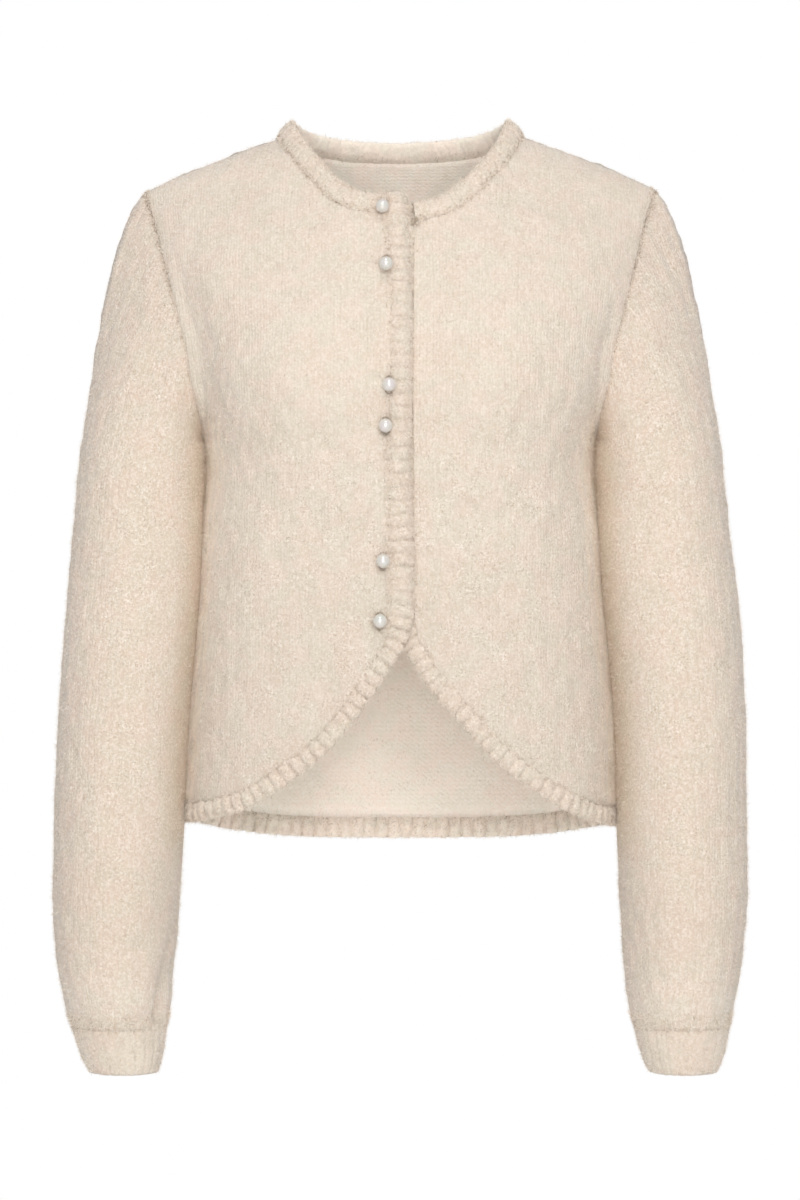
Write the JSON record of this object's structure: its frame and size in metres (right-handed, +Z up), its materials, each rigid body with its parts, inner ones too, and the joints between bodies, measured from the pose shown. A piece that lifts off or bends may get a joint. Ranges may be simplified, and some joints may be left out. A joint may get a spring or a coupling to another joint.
{
  "type": "button cardigan",
  "caption": "Cropped knitted cardigan, worn shape with no wearer: round neck, cut-away curved front, ribbed trims and cuffs, pearl buttons.",
  "frame": {"origin": "midway between the two shoulder seams, at the mid height of the seams, where the wearer's shoulders carry the garment", "axes": "+Z up along the wearer's body, -Y towards the front with the buttons, +X towards the wearer's left sleeve"},
  "size_m": [0.4823, 0.2295, 0.6654],
  "materials": {
    "brushed_knit": "brushed stocking stitch, soft fuzzy nap, heathered cream",
    "rib_knit": "ribbed knit, soft nap, heathered cream",
    "pearl": "pearl lustre"
  },
  "bodies": {
    "root": {"back": "brushed_knit", "front_right": "brushed_knit", "front_left": "brushed_knit", "sleeve_right": "brushed_knit", "sleeve_left": "brushed_knit", "cuff_right": "rib_knit", "cuff_left": "rib_knit", "band_right": "rib_knit", "band_left": "rib_knit", "hem_back": "rib_knit", "neckband": "rib_knit", "button_1": "pearl", "button_2": "pearl", "button_3": "pearl", "button_4": "pearl", "button_5": "pearl", "button_6": "pearl"}
  },
  "joints": []
}
